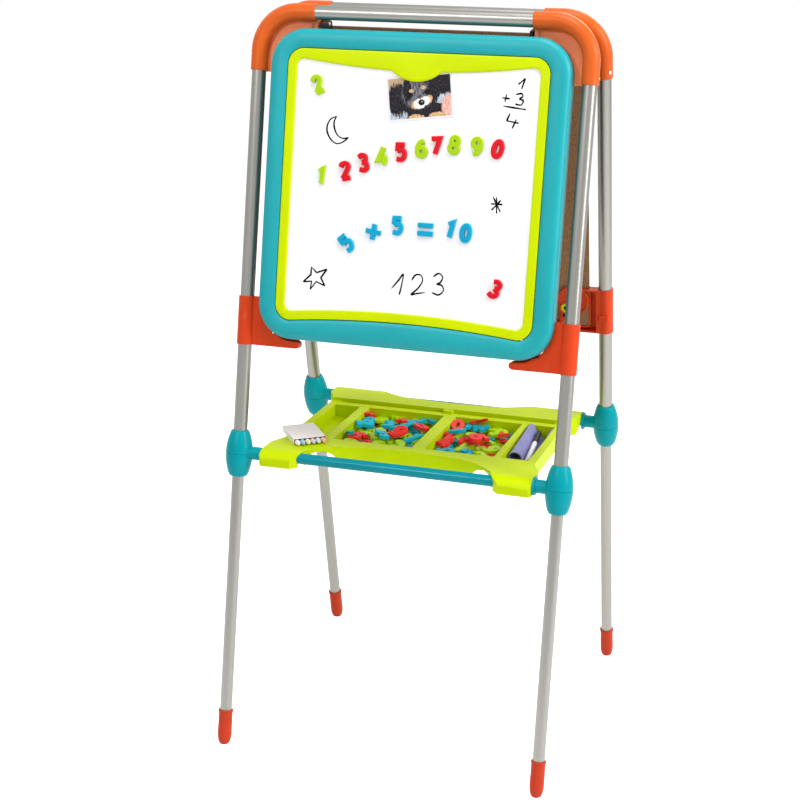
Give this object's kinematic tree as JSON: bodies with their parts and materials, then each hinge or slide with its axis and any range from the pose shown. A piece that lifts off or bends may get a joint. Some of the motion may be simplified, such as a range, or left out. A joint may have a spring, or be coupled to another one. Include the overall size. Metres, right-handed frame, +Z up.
{
  "type": "kids easel",
  "caption": "Folding two-sided kids' easel: steel tube A-frame with a framed magnetic whiteboard, a chalkboard, telescoping legs and a moulded tray with compartments.",
  "frame": {"origin": "on the floor, midway between the four feet", "axes": "+Z up, -Y towards the child at the whiteboard, +X to the right as seen from there"},
  "size_m": [0.617, 0.5808, 1.2642],
  "materials": {
    "lime_plastic": "glossy moulded plastic",
    "orange_plastic": "glossy moulded plastic",
    "teal_plastic": "glossy moulded plastic",
    "teal_bar": "glossy enamel",
    "silver_tube": "satin silver powder coat",
    "pin_steel": "plain",
    "black_plastic": "satin",
    "slate": "matt writing surface",
    "hardboard": "smooth brown hardboard",
    "white_steel": "gloss white enamel",
    "white_plastic": "gloss",
    "carton": "printed card",
    "felt": "felt"
  },
  "bodies": {
    "front_frame": {"board_surround": "teal_plastic", "front_bar_collar_left": "teal_bar", "front_bar_collar_right": "teal_bar", "front_board_button_left": "lime_plastic", "front_board_button_right": "lime_plastic", "front_bracket_left": "orange_plastic", "front_bracket_right": "orange_plastic", "front_crossbar": "teal_bar", "front_elbow_left": "orange_plastic", "front_elbow_right": "orange_plastic", "front_hub_cap_left": "teal_plastic", "front_hub_cap_right": "teal_plastic", "front_hub_left": "teal_plastic", "front_hub_right": "teal_plastic", "front_top_rail": "silver_tube", "front_upright_left": "silver_tube", "front_upright_right": "silver_tube", "hinge_pin_left": "pin_steel", "hinge_pin_right": "pin_steel", "whiteboard_back": "hardboard", "whiteboard_bezel": "lime_plastic", "whiteboard_sheet": "white_steel"},
    "rear_frame": {"chalkboard_face": "slate", "chalkboard_panel": "hardboard", "hinge_knuckle_left": "black_plastic", "hinge_knuckle_right": "black_plastic", "rear_bar_collar_left": "teal_bar", "rear_bar_collar_right": "teal_bar", "rear_board_button_left": "lime_plastic", "rear_board_button_right": "lime_plastic", "rear_bracket_left": "orange_plastic", "rear_bracket_right": "orange_plastic", "rear_crossbar": "teal_bar", "rear_elbow_left": "orange_plastic", "rear_elbow_right": "orange_plastic", "rear_hub_cap_left": "teal_plastic", "rear_hub_cap_right": "teal_plastic", "rear_hub_left": "teal_plastic", "rear_hub_right": "teal_plastic", "rear_top_rail": "silver_tube", "rear_upright_left": "silver_tube", "rear_upright_right": "silver_tube"},
    "tray": {"chalk_box": "carton", "felt_cloth": "felt", "marker_body": "white_plastic", "marker_cap": "black_plastic", "tray": "lime_plastic"},
    "front_leg_left": {"front_leg_left": "silver_tube", "front_foot_left": "orange_plastic"},
    "front_leg_right": {"front_leg_right": "silver_tube", "front_foot_right": "orange_plastic"},
    "rear_leg_left": {"rear_leg_left": "silver_tube", "rear_foot_left": "orange_plastic"},
    "rear_leg_right": {"rear_leg_right": "silver_tube", "rear_foot_right": "orange_plastic"}
  },
  "joints": [
    {"name": "fold", "type": "hinge", "parent": "front_frame", "child": "rear_frame", "pos_m": [0, 0, 1.228], "axis": [-1, 0, 0], "range_deg": [0, 22]},
    {"name": "tray_swing", "type": "hinge", "parent": "front_frame", "child": "tray", "pos_m": [0, -0.18002, 0.51313], "axis": [1, 0, 0], "range_deg": [0, 22]},
    {"name": "front_leg_slide_left", "type": "slide", "parent": "front_frame", "child": "front_leg_left", "axis": [0, 0.1931, 0.9812], "range_m": [0, 0.18]},
    {"name": "front_leg_slide_right", "type": "slide", "parent": "front_frame", "child": "front_leg_right", "axis": [0, 0.1931, 0.9812], "range_m": [0, 0.18]},
    {"name": "rear_leg_slide_left", "type": "slide", "parent": "rear_frame", "child": "rear_leg_left", "axis": [0, -0.1931, 0.9812], "range_m": [0, 0.18]},
    {"name": "rear_leg_slide_right", "type": "slide", "parent": "rear_frame", "child": "rear_leg_right", "axis": [0, -0.1931, 0.9812], "range_m": [0, 0.18]}
  ],
  "couplings": [
    {"joint": "tray_swing", "follows": "fold", "ratio": 1}
  ]
}
